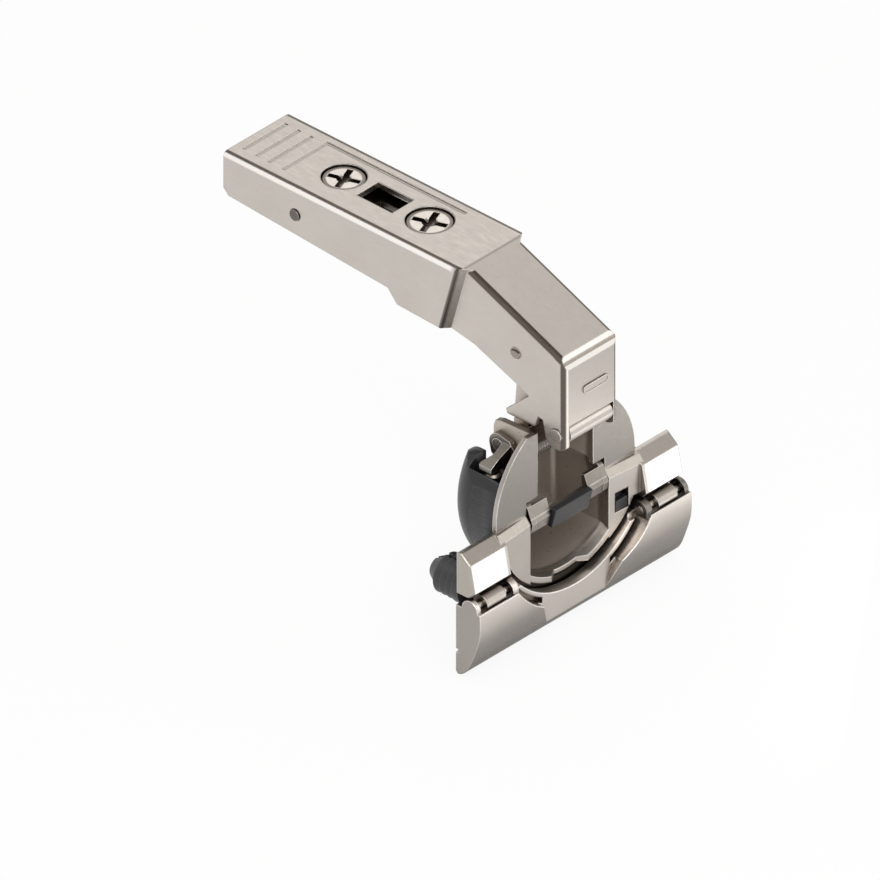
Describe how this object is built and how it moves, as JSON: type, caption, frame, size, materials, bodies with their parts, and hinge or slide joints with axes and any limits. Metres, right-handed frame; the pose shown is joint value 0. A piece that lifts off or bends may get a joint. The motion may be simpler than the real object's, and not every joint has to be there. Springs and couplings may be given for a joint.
{
  "type": "concealed cup hinge",
  "caption": "Concealed cabinet door hinge for blind corners: folded steel clip-on arm, steel cup with soft-close damper, and a press-down lever that spreads dowels in the door.",
  "frame": {"origin": "centre of the cup on the door's face", "axes": "+X out of the door, -X into the cup hole; +Y along the door's edge, the symmetry axis; +Z from the cup towards the arm, in the door's plane"},
  "size_m": [0.0788, 0.0534, 0.0664],
  "materials": {
    "nickel_steel": "bright nickel plate, satin",
    "nickel_zinc": "nickel-plated, satin",
    "pin_steel": "bright nickel plate",
    "spring_steel": "drawn wire",
    "zinc": "bare die-cast zinc",
    "dark_plastic": "smooth moulded",
    "dowel_plastic": "smooth moulded",
    "grey_plastic": "smooth moulded"
  },
  "bodies": {
    "cup": {"cup_plate": "nickel_steel", "cup_pot": "dark_plastic", "cup_pin_outer": "pin_steel", "cup_pin_inner": "pin_steel", "closing_spring": "spring_steel", "damper_cylinder_left": "grey_plastic", "damper_cylinder_right": "grey_plastic", "lever_pin_left": "pin_steel", "lever_pin_right": "pin_steel", "dowel_left": "dowel_plastic", "dowel_right": "dowel_plastic"},
    "outer_link": {"outer_link": "nickel_steel"},
    "inner_link": {"inner_link": "nickel_steel", "nose_pin_rear": "pin_steel"},
    "arm": {"hinge_arm": "nickel_steel", "nose_pin_front": "pin_steel", "frame_pin_left": "pin_steel", "frame_pin_right": "pin_steel"},
    "frame": {"side_frame": "nickel_steel"},
    "clip": {"clip_channel": "nickel_steel", "hook_pin": "pin_steel", "catch_pin": "pin_steel", "catch_spring": "spring_steel"},
    "catch": {"release_catch": "nickel_steel"},
    "side_screw": {"side_screw": "nickel_steel"},
    "depth_screw": {"depth_screw": "nickel_steel"},
    "damper_lever": {"damper_lever": "zinc", "damper_bumper": "dark_plastic"},
    "piston_left": {"damper_piston_left": "zinc"},
    "piston_right": {"damper_piston_right": "zinc"},
    "switch": {"damper_switch": "dark_plastic"},
    "fixing_lever": {"fixing_lever": "nickel_zinc"},
    "wedge_left": {"dowel_wedge_left": "pin_steel"},
    "wedge_right": {"dowel_wedge_right": "pin_steel"}
  },
  "joints": [
    {"name": "link_swing", "type": "hinge", "parent": "cup", "child": "outer_link", "pos_m": [-0.0064, 0, 0.0057], "axis": [0, 1, 0], "range_deg": [0, 127.4]},
    {"name": "arm_fold", "type": "hinge", "parent": "outer_link", "child": "arm", "pos_m": [0.005, 0, 0.0157], "axis": [0, 1, 0], "range_deg": [-32.5, 0]},
    {"name": "inner_link_swing", "type": "hinge", "parent": "cup", "child": "inner_link", "pos_m": [-0.006, 0, 0.0104], "axis": [0, 1, 0], "range_deg": [0, 124.1]},
    {"name": "damper_lever_swing", "type": "hinge", "parent": "cup", "child": "damper_lever", "pos_m": [-0.006, 0, 0.0104], "axis": [0, 1, 0], "range_deg": [0, 38.1]},
    {"name": "piston_left_slide", "type": "slide", "parent": "cup", "child": "piston_left", "axis": [0, 0, -1], "range_m": [0, 0.00176]},
    {"name": "piston_right_slide", "type": "slide", "parent": "cup", "child": "piston_right", "axis": [0, 0, -1], "range_m": [0, 0.00176]},
    {"name": "side_screw_turn", "type": "hinge", "parent": "arm", "child": "side_screw", "pos_m": [-0.0309, 0, 0.04], "axis": [0, 0, 1], "range_deg": [-360, 360]},
    {"name": "frame_tilt", "type": "hinge", "parent": "arm", "child": "frame", "pos_m": [-0.0547, 0, 0.0353], "axis": [0, 1, 0], "range_deg": [-2.01, 2.01]},
    {"name": "depth_screw_turn", "type": "hinge", "parent": "arm", "child": "depth_screw", "pos_m": [-0.051, 0, 0.04], "axis": [0, 0, 1], "range_deg": [-60.7, 60.7]},
    {"name": "clip_slide", "type": "slide", "parent": "frame", "child": "clip", "axis": [1, 0, 0], "range_m": [-0.00173, 0.00173]},
    {"name": "catch_release", "type": "hinge", "parent": "clip", "child": "catch", "pos_m": [-0.0615, 0, 0.0326], "axis": [0, 1, 0], "range_deg": [0, 14], "stiffness_Nm_per_rad": 0.02, "springref_deg": -17.19, "deforming": ["catch_spring"]},
    {"name": "switch_slide", "type": "slide", "parent": "cup", "child": "switch", "axis": [0, 0, 1], "range_m": [0, 0.0015]},
    {"name": "fixing_lever_swing", "type": "hinge", "parent": "cup", "child": "fixing_lever", "pos_m": [0.0032, 0, -0.0114], "axis": [0, 1, 0], "range_deg": [-40, 0]},
    {"name": "wedge_left_slide", "type": "slide", "parent": "cup", "child": "wedge_left", "axis": [1, 0, 0], "range_m": [-0.00101, 0]},
    {"name": "wedge_right_slide", "type": "slide", "parent": "cup", "child": "wedge_right", "axis": [1, 0, 0], "range_m": [-0.00101, 0]}
  ],
  "couplings": [
    {"joint": "arm_fold", "follows": "link_swing", "ratio": -0.25432},
    {"joint": "inner_link_swing", "follows": "link_swing", "ratio": 0.97331},
    {"joint": "damper_lever_swing", "follows": "link_swing", "ratio": 0.29827},
    {"joint": "piston_left_slide", "follows": "link_swing", "m_per_rad": 0.00078703},
    {"joint": "piston_right_slide", "follows": "link_swing", "m_per_rad": 0.00078703},
    {"joint": "frame_tilt", "follows": "side_screw_turn", "ratio": 0.0055556},
    {"joint": "depth_screw_turn", "follows": "clip_slide", "rad_per_m": -605.32},
    {"joint": "wedge_left_slide", "follows": "fixing_lever_swing", "m_per_rad": 0.0014324},
    {"joint": "wedge_right_slide", "follows": "fixing_lever_swing", "m_per_rad": 0.0014324}
  ]
}
